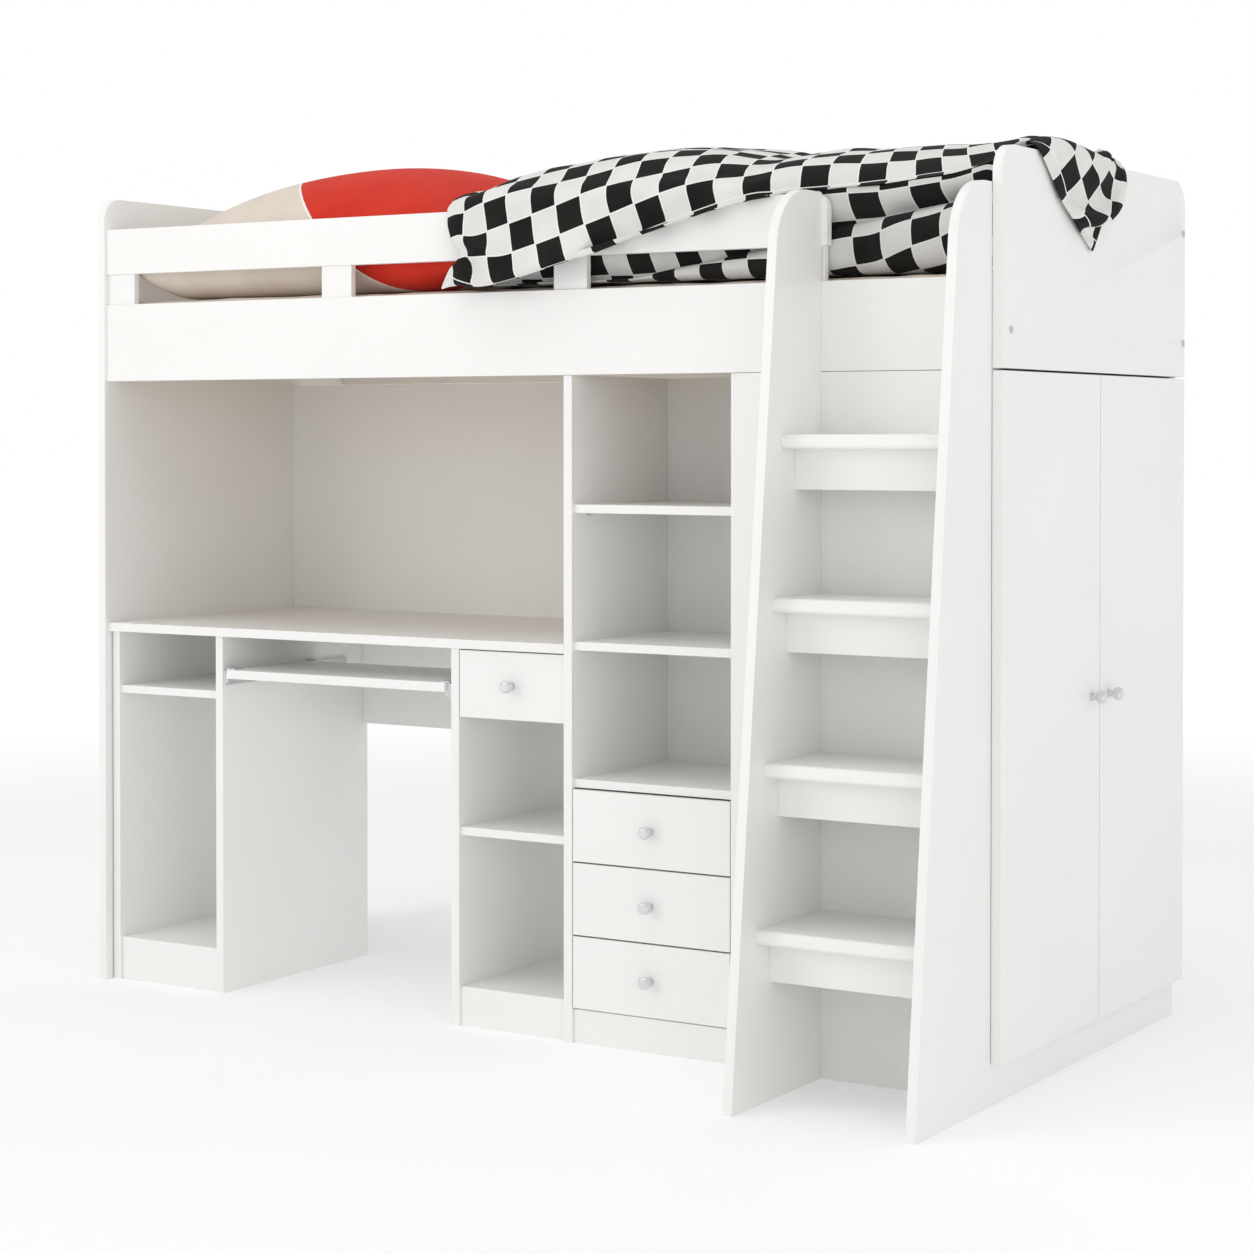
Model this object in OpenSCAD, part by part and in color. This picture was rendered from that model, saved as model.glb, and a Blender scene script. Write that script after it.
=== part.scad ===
// Loft bed with a desk, a bookcase and a wardrobe below it, and a ladder at the wardrobe end.
// X runs along the bed towards the wardrobe, Y to the back and Z up. All sizes are in millimetres.
// The origin is on the floor, at the middle of the whole object's length and depth.
// Spans are measured from the left end panel's outer face, the same panel's front edge and the floor.

/* [Bed] */
// Length of the mattress
mattress_l = 2000; // [1900:10:2100]
// Width of the mattress
mattress_w = 800; // [760:10:900]
// Thickness of the mattress
mattress_t = 119; // [100:1:140]
// Underside of the bed rails above the floor
rail_z = 1242; // [1200:1:1300]
// Height of a bed rail
rail_h = 158; // [150:1:180]
// Gap between a bed rail and the guard rail above it
guard_gap = 62; // [40:1:75]
// Height of a guard rail
guard_h = 93; // [80:1:110]
// Height of the end panels
end_h = 1620; // [1600:1:1650]
// Radius of the end panels' top corners
end_r = 50; // [20:1:80]
// Number of slats under the mattress
slat_count = 14; // [10:1:16]

/* [Boards] */
// Thickness of panels, rails and walls
board_t = 18; // [16:1:19]
// Thickness of shelves, drawer fronts and plinth boards
shelf_t = 16; // [12:1:18]

/* [Desk] */
// Length of the desktop
desk_l = 1126; // [1000:1:1200]
// Top of the desktop above the floor
desk_h = 742; // [700:1:760]
// Depth of the desk's side boards
desk_side_d = 481; // [420:1:520]
// Clear width of the open pedestal on the left
left_bay_w = 259; // [200:1:300]
// Clear width of the knee space
knee_w = 566; // [500:1:600]
// Top of the shelf in the left pedestal
left_shelf_z = 612; // [560:1:640]
// Top of the shelf in the drawer pedestal
drawer_bay_shelf_z = 382; // [300:1:450]
// Top of the keyboard tray
tray_z = 657; // [640:1:670]
// Depth of the keyboard tray
tray_d = 266; // [220:1:300]

/* [Bookcase] */
// Clear width of the bookcase
book_w = 339; // [300:1:360]
// Top of the shelf over the three drawers
book_low_z = 492; // [440:1:540]
// Top of the middle shelf
book_mid_z = 747; // [650:1:800]
// Top of the top shelf
book_top_z = 1002; // [900:1:1100]
// Depth of the shelves
book_d = 338; // [300:1:360]

/* [Wardrobe] */
// Underside of the doors above the floor
door_z = 71; // [60:1:100]
// Height of the door knobs' centres
door_knob_z = 660; // [500:1:900]
// How far the doors and the right end panel stand forward of the left end panel
door_lead = 20; // [10:1:30]

/* [Ladder] */
// Clear width between the ladder's sides
ladder_w = 318; // [300:1:340]
// How far the ladder's foot stands forward of the left end panel
ladder_foot = 311; // [250:1:350]
// Height of the ladder
ladder_h = 1555; // [1500:1:1600]
// Forward lean of the ladder's front edge in degrees
ladder_lean = 6.05; // [3:0.05:7]
// Rise from step to step
step_rise = 278; // [260:1:285]
// Top of the first step
step_first_z = 298; // [280:1:310]
// Thickness of a step
step_t = 25; // [20:1:30]

/* [Hidden] */
DRAWERS = ["low", "middle", "top"];
$fn = 64;

// Colours
WHITE = "#f4f3f0";
STEEL = "#9a9c9e";
NICKEL = "#c8c9ca";
PINE = "#d9c19a";
SHEET = "#e2d6c9";
RED = "#d63724";
CHECK = "#8d8b88";

// Bed, along X and Y
mattress_gap = 1;                                   // beside the mattress
mattress_end_gap = 2;                               // at its head and foot
rail_setback = 7;                                   // rails behind the left panel's front edge
inner_x = [board_t, board_t + mattress_l + 2 * mattress_end_gap];
bed_l = inner_x[1] + board_t;
front_rail_y = [rail_setback, rail_setback + board_t];
rear_rail_y0 = front_rail_y[1] + mattress_w + 2 * mattress_gap;
rear_rail_y = [rear_rail_y0, rear_rail_y0 + board_t];
bed_d = rear_rail_y[1];
door_y0 = -door_lead;

// Bed, along Z
joint_gap = 1;                                      // shadow gap between the bed and what carries it
carcass_top = rail_z - joint_gap;
rail_span = [rail_z, rail_z + rail_h];
guard_z0 = rail_span[1] + guard_gap;
guard_span = [guard_z0, guard_z0 + guard_h];
batten_w = 25;
batten_h = 24;
batten_z0 = rail_z + 5;
slat_t = 18;
slat_w = 70;
slat_z0 = batten_z0 + batten_h;
mattress_z0 = slat_z0 + slat_t + joint_gap;
mattress_top = mattress_z0 + mattress_t;
rest_gap = 1.5;                                     // bedding above what it lies on

// Ladder, hung at the right end against the wardrobe's front wall
ladder_right_x = [inner_x[1] - board_t, inner_x[1]];
ladder_inner_x = [ladder_right_x[0] - ladder_w, ladder_right_x[0]];
ladder_left_x = [ladder_inner_x[0] - board_t, ladder_inner_x[0]];
ladder_arc = 110;
step_count = 4;
step_inset = 50;                                    // steps behind the sides' front edge
step_round = 7;
riser_inset = 50;                                   // risers behind the steps' front edge
riser_h = 70;
guard_end = ladder_inner_x[0] + 10;                 // the guard rail stops past the ladder's side
guard_corner = 28;

// Guard rail blocks
block_w = 73;
block_y = [front_rail_y[0] + 4, front_rail_y[1]];
block_pitch = 545;                                  // from the second block on
block_last_x = ladder_left_x[1] + 4 - block_w;      // the last one ends past the ladder's side
middle_block_x = [for (i = [0:1]) 578 + i * block_pitch];
block_x = concat([inner_x[0]], middle_block_x, [block_last_x]);
rear_block_x = concat([inner_x[0]], middle_block_x, [inner_x[1] - block_w]);

// Bolts through the end panels into the rails
bolt_r = 3;
bolt_bore_r = 3.3;
bolt_head_r = 6.5;
bolt_head_h = 1.5;
bolt_l = 55;
bolt_tip_gap = 3;
rail_bolt_z = mid(rail_span) - 13;
guard_bolt_z = mid(guard_span) + 12;
bolt_left = [for (y = [front_rail_y, rear_rail_y]) for (z = [rail_bolt_z, guard_bolt_z])
    [mid(y), z]];
bolt_right = [[mid(front_rail_y), rail_bolt_z], [mid(rear_rail_y), rail_bolt_z],
    [mid(rear_rail_y), guard_bolt_z]];

// Desk
desktop_x = [inner_x[0], inner_x[0] + desk_l];
desktop_y = [10, 618];
desktop_z = [desk_h - board_t, desk_h];
desk_side_y = [20, 20 + desk_side_d];
outer_side_x = [inner_x[0] + 3, inner_x[0] + 3 + board_t];
left_bay_x = [outer_side_x[1], outer_side_x[1] + left_bay_w];
inner_side_x = [left_bay_x[1], left_bay_x[1] + board_t];
knee_x = [inner_side_x[1], inner_side_x[1] + knee_w];
drawer_side_x = [knee_x[1], knee_x[1] + board_t];
drawer_bay_x = [drawer_side_x[1], desktop_x[1]];
shelf_y = [desk_side_y[0] + 6, desk_side_y[1] - 5];
left_bottom_z = 88;
drawer_bottom_z = 76;
plinth_setback = 6;
modesty_z0 = 507;

// Keyboard tray and its slides
tray_gap = 13;                                      // room for a slide on each side of the tray
tray_x = [knee_x[0] + tray_gap, knee_x[1] - tray_gap];
tray_y = [desk_side_y[0] - 4, desk_side_y[0] - 4 + tray_d];
tray_span = [tray_z - board_t, tray_z];
tray_rail_t = 6;
tray_rail_y = [desk_side_y[0] + 2, 420];
tray_rail_z = [tray_z - 31, tray_z - 2];
tray_slide_t = 6.4;
tray_slide_z = [tray_z - 27, tray_z - 6];
tray_lug = [26, 22, 2.5];
tray_travel_lug_y = [tray_y[0] + 8, tray_y[1] + 4];

// Bookcase
book_left_x = [desktop_x[1], desktop_x[1] + board_t];
book_x = [book_left_x[1], book_left_x[1] + book_w];
book_right_x = [book_x[1], book_x[1] + board_t];
book_y0 = 12;
book_shelf_y = [book_y0 + 8, book_y0 + 8 + book_d];
book_back_y = [book_shelf_y[1], book_shelf_y[1] + shelf_t];
desk_back_y = [desktop_y[1], desktop_y[1] + shelf_t];
book_plinth_z = 63;

// Drawers
drawer_gap = 3;
drawer_side_gap = 2;
runner_t = 12.5;                                    // runner between a drawer's side and its panel
drawer_clear = 13;
drawer_wall = 12;
drawer_floor = 5;
drawer_floor_lift = 8;
glue_gap = 0.2;                                     // between the boards of a drawer box
book_drawer_count = 3;
book_drawer_z0 = book_plinth_z + drawer_gap;
book_drawer_pitch = (book_low_z - shelf_t - book_drawer_z0) / book_drawer_count;
book_drawer_h = book_drawer_pitch - drawer_gap;
book_box_back = book_shelf_y[1] - 18;
desk_drawer_z = [desktop_z[0] - drawer_gap - 128, desktop_z[0] - drawer_gap];
desk_box_back = desk_side_y[1] - 31;
box_lift = 14;                                      // drawer box above its front's lower edge
box_drop = 22;                                      // drawer box below its front's upper edge
runner_h = 30;

// Wardrobe
wardrobe_x = [book_right_x[1], inner_x[1] - 2];
wall_front_y = front_rail_y;
wall_back_y = rear_rail_y;
wardrobe_y = [wall_front_y[1], wall_back_y[0]];
wardrobe_floor_z = [door_z - 7, door_z - 7 + board_t];
stile_y = [door_y0 - 1, wall_front_y[0]];
door_x = [inner_x[1], bed_l];
door_top = rail_z - 3;
door_mid = (door_y0 + bed_d) / 2 + 4;
door_gap = 3;
front_door_y = [door_y0, door_mid - door_gap / 2];
rear_door_y = [door_mid + door_gap / 2, bed_d];
door_knob_inset = 38;
clothes_rail_r = 12.5;
clothes_rail_wall = 1.5;
clothes_rail_z = carcass_top - board_t - 65;
socket_r = 22;
socket_t = 8;

// Concealed hinges
hinge_z = [for (i = [0:2]) door_z + 100 + i * (door_top - door_z - 200) / 2];
cup_r = 17.5;
cup_bore_r = 17.6;
cup_depth = 12;
cup_inset = 22;                                     // cup centre from the wall it closes on
arm_tip_gap = 1.5;
arm_l = 62;
plate_w = 40;
arm_h = 16;
plate_h = 46;
plate_t = 3;

// Shelf pins
pin_r = 2.5;
pin_bore_r = 2.6;
pin_in = 8;
pin_out = 8;

// Knobs
knob_base_r = 8;
knob_neck_r = 6.5;
knob_head_r = 11.5;
knob_l = 27;
knob_head_l = 15;
knob_round = 4.5;

// The object's box, which its origin is centred on
centre_x = (bed_l + knob_l - bolt_head_h) / 2;
centre_y = (bed_d - ladder_foot) / 2;

function mid(span) = (span[0] + span[1]) / 2;
function inset(span, by) = [span[0] + by, span[1] - by];
function drawer_z(i) = [book_drawer_z0 + i * book_drawer_pitch,
    book_drawer_z0 + i * book_drawer_pitch + book_drawer_h];
// The ladder's front edge at a given height
function ladder_front(z) = -ladder_foot + z * tan(ladder_lean);
function step_top(i) = step_first_z + i * step_rise;
function step_front(i) = ladder_front(step_top(i)) + step_inset;

// Moves a shape from the panel corner's coordinates to the object's own
module place(x, y, z) translate([x - centre_x, y - centre_y, z]) children();

// A board that fills three spans
module board(x, y, z) place(x[0], y[0], z[0]) cube([x[1] - x[0], y[1] - y[0], z[1] - z[0]]);

// A round rod along X
module rod_x(x, y, z, r) place(x[0], y, z) rotate([0, 90, 0]) cylinder(h = x[1] - x[0], r = r);

// A round rod along Y
module rod_y(x, y, z, r) place(x, y[0], z) rotate([-90, 0, 0]) cylinder(h = y[1] - y[0], r = r);

// Turns an outline drawn in Y and Z into a board that fills a span of X
module slab_x(x) place(x[0], 0, 0) rotate([90, 0, 90]) linear_extrude(x[1] - x[0]) children();

// Turns an outline drawn in X and Z into a board that fills a span of Y
module slab_y(y) place(0, y[1], 0) rotate([90, 0, 0]) linear_extrude(y[1] - y[0]) children();

// A rectangle in a slab's outline
module patch(a, b) translate([a[0], b[0]]) square([a[1] - a[0], b[1] - b[0]]);

// An end panel's outline with two rounded top corners
module end_outline(y, z) {
    patch(y, [z[0], z[1] - end_r]);
    patch(inset(y, end_r), [z[0], z[1]]);
    for (corner = [y[0] + end_r, y[1] - end_r])
        translate([corner, z[1] - end_r]) circle(end_r);
}

// Bolts
module bolt_set(sites, face, inward, r, reach) {
    for (site = sites) {
        ends = [face, face + inward * reach];
        rod_x([min(ends), max(ends)], site[0], site[1], r);
    }
}
module bolt_bores() {
    bolt_set(bolt_left, -1, 1, bolt_bore_r, bolt_l + bolt_tip_gap);
    bolt_set(bolt_right, bed_l + 1, -1, bolt_bore_r, bolt_l + bolt_tip_gap);
}
module rail_bolts() color(STEEL) {
    bolt_set(bolt_left, 0, 1, bolt_r, bolt_l);
    bolt_set(bolt_left, -bolt_head_h, 1, bolt_head_r, bolt_head_h);
    bolt_set(bolt_right, bed_l, -1, bolt_r, bolt_l);
    bolt_set(bolt_right, bed_l + bolt_head_h, -1, bolt_head_r, bolt_head_h);
}

// End panels and rails
module left_end_panel() color(WHITE) difference() {
    slab_x([0, board_t]) end_outline([0, bed_d], [0, end_h]);
    bolt_bores();
}
module right_end_panel() color(WHITE) difference() {
    slab_x(door_x) end_outline([door_y0, bed_d], [rail_z + joint_gap, end_h]);
    bolt_bores();
}
module rail(x, y, z) color(WHITE) difference() {
    board(x, y, z);
    bolt_bores();
}
module front_rail() rail(inner_x, front_rail_y, rail_span);
module rear_rail() rail(inner_x, rear_rail_y, rail_span);
module rear_guard_rail() rail(inner_x, rear_rail_y, guard_span);
module front_guard_rail() color(WHITE) difference() {
    slab_y(front_rail_y) {
        patch([inner_x[0], guard_end], [guard_span[0], guard_span[1] - guard_corner]);
        patch([inner_x[0], guard_end - guard_corner], guard_span);
        translate([guard_end - guard_corner, guard_span[1] - guard_corner]) circle(guard_corner);
    }
    bolt_bores();
}
module guard_rail_blocks() color(WHITE) {
    for (x = block_x)
        board([x, x + block_w], block_y, [rail_span[1], guard_span[0]]);
    for (x = rear_block_x)
        board([x, x + block_w], rear_rail_y, [rail_span[1], guard_span[0]]);
}

// Slats and their battens
module slat_battens() color(WHITE) {
    z = [batten_z0, slat_z0];
    board(inner_x, [front_rail_y[1], front_rail_y[1] + batten_w], z);
    board(inner_x, [rear_rail_y[0] - batten_w, rear_rail_y[0]], z);
}
module bed_slats() color(PINE) {
    pitch = (inner_x[1] - inner_x[0] - slat_w - 20) / (slat_count - 1);
    for (i = [0:slat_count - 1]) {
        x = inner_x[0] + 10 + i * pitch;
        board([x, x + slat_w], [front_rail_y[1] + 1, rear_rail_y[0] - 1], [slat_z0, slat_z0 + slat_t]);
    }
}

// Bedding
module mattress() color(SHEET)
    board(inset(inner_x, mattress_end_gap), [front_rail_y[1] + mattress_gap, rear_rail_y[0] - mattress_gap],
        [mattress_z0, mattress_top]);
module pillow() color(RED) hull() {
    z = mattress_top + rest_gap;
    board([220, 740], [150, 700], [z, z + 6]);
    board([110, 850], [50, 800], [z + 85, z + 115]);
    board([260, 700], [200, 640], [z + 268, z + 276]);
}
module duvet() color(CHECK) {
    z = mattress_top + rest_gap;
    drape_x = [905, 1600];
    over_guard = [guard_span[1] + rest_gap, guard_span[1] + rest_gap + 18];
    drape_y = [front_rail_y[0] - 20, front_rail_y[0] - 2];
    over_end = [end_h + rest_gap, end_h + rest_gap + 24];
    end_x = [bed_l + 2, bed_l + 14];
    end_y = [60, 486];
    hull() {
        board([880, inner_x[1] - 5], [front_rail_y[1] + 4, rear_rail_y[0] - 4], [z, z + 30]);
        board([900, inner_x[1] - 5], [front_rail_y[1] + 8, rear_rail_y[0] - 12], [z + 150, z + 172]);
        board([1050, 1900], [220, 640], [z + 268, z + 278]);
    }
    slab_y(drape_y) polygon([[868, 1408], [1090, 1416], [drape_x[1], over_guard[0]],
        [drape_x[1], over_guard[1]], [drape_x[0], over_guard[1]]]);
    board(drape_x, [drape_y[1] - 1, front_rail_y[1] + 45], over_guard);
    slab_x(end_x) polygon([[end_y[0], over_end[0]], [217, 1532], [354, 1463], [end_y[1], over_end[0]],
        [end_y[1], over_end[1]], [end_y[0], over_end[1]]]);
    board([1880, end_x[0] + 1], end_y, over_end);
}

// Pins that carry the loose shelves, in both walls of a bay
module pins_in_bay(x, y, shelf_z, r, slack) {
    z = shelf_z - shelf_t - pin_r;
    for (pin_y = [y[0] + 44, y[1] - 44]) {
        rod_x([x[0] - pin_in - slack, x[0] + pin_out], pin_y, z, r);
        rod_x([x[1] - pin_out, x[1] + pin_in + slack], pin_y, z, r);
    }
}
module all_pins(r, slack) {
    pins_in_bay(left_bay_x, shelf_y, left_shelf_z, r, slack);
    pins_in_bay(drawer_bay_x, shelf_y, drawer_bay_shelf_z, r, slack);
    pins_in_bay(book_x, book_shelf_y, book_mid_z, r, slack);
    pins_in_bay(book_x, book_shelf_y, book_top_z, r, slack);
}
module shelf_pins() color(STEEL) all_pins(pin_r, 0);
module drilled_side(x, y, z) color(WHITE) difference() {
    board(x, y, z);
    all_pins(pin_bore_r, 0.3);
}

// Desk
module desktop() color(WHITE) board(desktop_x, desktop_y, desktop_z);
module desk_back_panel() color(WHITE) board(desktop_x, desk_back_y, [desktop_z[0], carcass_top]);
module pedestal_outer_side() drilled_side(outer_side_x, desk_side_y, [0, desktop_z[0]]);
module pedestal_inner_side() drilled_side(inner_side_x, desk_side_y, [0, desktop_z[0]]);
module drawer_pedestal_side() drilled_side(drawer_side_x, desk_side_y, [0, desktop_z[0]]);
module pedestal_shelves() color(WHITE) {
    board(left_bay_x, shelf_y, [left_shelf_z - shelf_t, left_shelf_z]);
    board(drawer_bay_x, shelf_y, [drawer_bay_shelf_z - shelf_t, drawer_bay_shelf_z]);
}
module pedestal_bottoms() color(WHITE) {
    y = [desk_side_y[0] + plinth_setback + shelf_t, desk_side_y[1]];
    board(left_bay_x, y, [left_bottom_z - shelf_t, left_bottom_z]);
    board(drawer_bay_x, y, [drawer_bottom_z - shelf_t, drawer_bottom_z]);
}
module modesty_panel() color(WHITE)
    board(knee_x, [desk_side_y[1] - shelf_t, desk_side_y[1]], [modesty_z0, desktop_z[0]]);

// Keyboard tray
module keyboard_tray() color(WHITE) board(tray_x, tray_y, tray_span);
module tray_slides() color(STEEL) {
    y = [tray_y[0] + 6, tray_y[1] + 30];
    left = [tray_x[0] - tray_slide_t, tray_x[0]];
    right = [tray_x[1], tray_x[1] + tray_slide_t];
    for (x = [left, right])
        board(x, y, tray_slide_z);
    for (lug_y = tray_travel_lug_y) {
        span = [lug_y, lug_y + tray_lug[0]];
        lug_z = [tray_z, tray_z + tray_lug[2]];
        for (x = [left, right])
            board(x, span, [tray_slide_z[1] - 1, lug_z[1]]);
        board([left[0], tray_x[0] + tray_lug[1] - tray_slide_t], span, lug_z);
        board([tray_x[1] - tray_lug[1] + tray_slide_t, right[1]], span, lug_z);
    }
}

// Drawers
module drawer_front(x, y0, z) color(WHITE)
    board(inset(x, drawer_side_gap), [y0, y0 + shelf_t], z);
module drawer_box(x, y, z) color(WHITE) {
    outer = inset(x, drawer_clear);
    inner = inset(outer, drawer_wall + glue_gap);
    y_in = [y[0] + drawer_wall + glue_gap, y[1] - drawer_wall - glue_gap];
    floor_z = z[0] + drawer_floor_lift;
    for (x0 = [outer[0], outer[1] - drawer_wall])
        board([x0, x0 + drawer_wall], y, z);
    for (y0 = [y[0], y[1] - drawer_wall])
        board(inner, [y0, y0 + drawer_wall], z);
    board(inner, y_in, [floor_z, floor_z + drawer_floor]);
}
function box_span(z) = [z[0] + box_lift, z[1] - box_drop];
module runner_pair(x, y, z) {
    span = [mid(z) - runner_h / 2, mid(z) + runner_h / 2];
    board([x[0], x[0] + runner_t], y, span);
    board([x[1] - runner_t, x[1]], y, span);
}
module slide_runners() color(STEEL) {
    for (x0 = [knee_x[0], knee_x[1] - tray_rail_t])
        board([x0, x0 + tray_rail_t], tray_rail_y, tray_rail_z);
    runner_pair(drawer_bay_x, [desk_side_y[0] + shelf_t + 4, desk_box_back], box_span(desk_drawer_z));
    for (i = [0:book_drawer_count - 1])
        runner_pair(book_x, [book_y0 + shelf_t + 4, book_box_back], box_span(drawer_z(i)));
}
module desk_drawer_front() drawer_front(drawer_bay_x, desk_side_y[0], desk_drawer_z);
module desk_drawer_box()
    drawer_box(drawer_bay_x, [desk_side_y[0] + shelf_t, desk_box_back], box_span(desk_drawer_z));
module book_drawer_front(i) drawer_front(book_x, book_y0, drawer_z(i));
module book_drawer_box(i)
    drawer_box(book_x, [book_y0 + shelf_t, book_box_back], box_span(drawer_z(i)));

// A turned knob that stands on its base along +Z
module knob() color(NICKEL) rotate_extrude() {
    square([knob_base_r, 2.5]);
    square([knob_neck_r, knob_l - knob_head_l + 1]);
    translate([0, knob_l - knob_head_l]) {
        square([knob_head_r - knob_round, knob_head_l]);
        translate([0, knob_round]) square([knob_head_r, knob_head_l - 2 * knob_round]);
        for (z = [knob_round, knob_head_l - knob_round])
            translate([knob_head_r - knob_round, z]) circle(knob_round);
    }
}
module knob_forward(x, y, z) place(x, y, z) rotate([90, 0, 0]) knob();
module knob_sideways(x, y, z) place(x, y, z) rotate([0, 90, 0]) knob();
module desk_drawer_knob() knob_forward(mid(drawer_bay_x), desk_side_y[0], mid(desk_drawer_z));
module book_drawer_knob(i) knob_forward(mid(book_x), book_y0, mid(drawer_z(i)));

// Bookcase
module bookcase_left_side() drilled_side(book_left_x, [book_y0, desk_back_y[1]], [0, carcass_top]);
module bookcase_right_side() drilled_side(book_right_x, [book_y0, bed_d], [0, carcass_top]);
module bookcase_back() color(WHITE) board(book_x, book_back_y, [book_plinth_z - shelf_t, carcass_top]);
module bookcase_loose_shelves() color(WHITE)
    for (z = [book_mid_z, book_top_z])
        board(book_x, book_shelf_y, [z - shelf_t, z]);
module bookcase_fixed_shelf() color(WHITE) board(book_x, book_shelf_y, [book_low_z - shelf_t, book_low_z]);
module plinth_boards() color(WHITE) {
    desk_y0 = desk_side_y[0] + plinth_setback;
    board(left_bay_x, [desk_y0, desk_y0 + shelf_t], [0, left_bottom_z]);
    board(drawer_bay_x, [desk_y0, desk_y0 + shelf_t], [0, drawer_bottom_z]);
    board(book_x, [book_y0 + plinth_setback, book_y0 + plinth_setback + shelf_t], [0, book_plinth_z]);
    board([wardrobe_x[1] - board_t, wardrobe_x[1]], wardrobe_y, [0, wardrobe_floor_z[0]]);
}

// Wardrobe
module wardrobe_front_wall() color(WHITE) board(wardrobe_x, wall_front_y, [0, carcass_top]);
module wardrobe_corner_stile() color(WHITE)
    board([ladder_right_x[0], inner_x[1] - 1], stile_y, [0, rail_span[1]]);
module wardrobe_back_wall() color(WHITE) board(wardrobe_x, wall_back_y, [0, carcass_top]);
module wardrobe_top() color(WHITE) board(wardrobe_x, wardrobe_y, [carcass_top - board_t, carcass_top]);
module wardrobe_bottom() color(WHITE) board(wardrobe_x, wardrobe_y, wardrobe_floor_z);
module clothes_rail() color(NICKEL) {
    x = mid(wardrobe_x);
    tube_y = inset(wardrobe_y, socket_t);
    difference() {
        rod_y(x, tube_y, clothes_rail_z, clothes_rail_r);
        rod_y(x, inset(tube_y, -1), clothes_rail_z, clothes_rail_r - clothes_rail_wall);
    }
    rod_y(x, [wardrobe_y[0], tube_y[0] - glue_gap], clothes_rail_z, socket_r);
    rod_y(x, [tube_y[1] + glue_gap, wardrobe_y[1]], clothes_rail_z, socket_r);
}
module door_board(y, cup_y) color(WHITE) difference() {
    board(door_x, y, [door_z, door_top]);
    for (z = hinge_z)
        rod_x([door_x[0] - 1, door_x[0] + cup_depth], cup_y, z, cup_bore_r);
}
front_cup_y = wardrobe_y[0] + cup_inset;
rear_cup_y = wardrobe_y[1] - cup_inset;
module front_door() door_board(front_door_y, front_cup_y);
module rear_door() door_board(rear_door_y, rear_cup_y);
module front_door_knob() knob_sideways(bed_l, front_door_y[1] - door_knob_inset, door_knob_z);
module rear_door_knob() knob_sideways(bed_l, rear_door_y[0] + door_knob_inset, door_knob_z);
module hinge_cups(cup_y) color(STEEL)
    for (z = hinge_z)
        difference() {
            rod_x([door_x[0], door_x[0] + cup_depth - 0.2], cup_y, z, cup_r);
            rod_x([door_x[0] - 1, door_x[0] + cup_depth - 2], cup_y, z, cup_r - 2);
        }
module front_hinge_cups() hinge_cups(front_cup_y);
module rear_hinge_cups() hinge_cups(rear_cup_y);
module hinge_arms() color(STEEL) {
    tip_x = door_x[0] - arm_tip_gap;
    for (z = hinge_z) {
        for (side = [[wardrobe_y[0], 1], [wardrobe_y[1], -1]]) {
            plate = [side[0], side[0] + side[1] * plate_t];
            arm = [side[0] + side[1] * plate_t, side[0] + side[1] * (cup_inset + 6)];
            board([tip_x - arm_l, tip_x - arm_l + plate_w], [min(plate), max(plate)],
                [z - plate_h / 2, z + plate_h / 2]);
            board([tip_x - arm_l + 4, tip_x], [min(arm), max(arm)], [z - arm_h / 2, z + arm_h / 2]);
        }
    }
}

// Ladder
module ladder_outline(back) {
    centre = [ladder_front(ladder_h - ladder_arc) + ladder_arc / cos(ladder_lean), ladder_h - ladder_arc];
    polygon([[-ladder_foot, 0], [back, 0], [back, ladder_h], [centre[0], ladder_h],
        [centre[0] - ladder_arc * cos(ladder_lean), centre[1] + ladder_arc * sin(ladder_lean)]]);
    intersection() {
        translate(centre) circle(ladder_arc, $fn = 128);
        patch([-ladder_foot, back], [0, ladder_h]);
    }
}
module ladder_left_side() color(WHITE) slab_x(ladder_left_x) ladder_outline(wall_front_y[0]);
module ladder_right_side() color(WHITE) slab_x(ladder_right_x) ladder_outline(stile_y[0]);
module ladder_steps() color(WHITE)
    for (i = [0:step_count - 1]) {
        y = [step_front(i), wall_front_y[0]];
        z = [step_top(i) - step_t, step_top(i)];
        slab_x(ladder_inner_x) {
            patch([y[0] + step_round, y[1]], z);
            patch(y, inset(z, step_round));
            for (corner = inset(z, step_round))
                translate([y[0] + step_round, corner]) circle(step_round);
        }
    }
module ladder_risers() color(WHITE)
    for (i = [0:step_count - 1]) {
        y0 = step_front(i) + riser_inset;
        z1 = step_top(i) - step_t;
        board(ladder_inner_x, [y0, y0 + shelf_t], [z1 - riser_h, z1]);
    }

left_end_panel();
right_end_panel();
front_rail();
rear_rail();
front_guard_rail();
rear_guard_rail();
guard_rail_blocks();
slat_battens();
bed_slats();
rail_bolts();
mattress();
pillow();
duvet();
desktop();
desk_back_panel();
pedestal_outer_side();
pedestal_inner_side();
drawer_pedestal_side();
pedestal_shelves();
pedestal_bottoms();
modesty_panel();
keyboard_tray();
tray_slides();
desk_drawer_front();
desk_drawer_box();
desk_drawer_knob();
bookcase_left_side();
bookcase_right_side();
bookcase_back();
bookcase_loose_shelves();
bookcase_fixed_shelf();
shelf_pins();
plinth_boards();
slide_runners();
for (i = [0:book_drawer_count - 1]) {
    book_drawer_front(i);
    book_drawer_box(i);
    book_drawer_knob(i);
}
wardrobe_front_wall();
wardrobe_corner_stile();
wardrobe_back_wall();
wardrobe_top();
wardrobe_bottom();
clothes_rail();
hinge_arms();
front_door();
rear_door();
front_door_knob();
rear_door_knob();
front_hinge_cups();
rear_hinge_cups();
ladder_left_side();
ladder_right_side();
ladder_steps();
ladder_risers();
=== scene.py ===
import math

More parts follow.
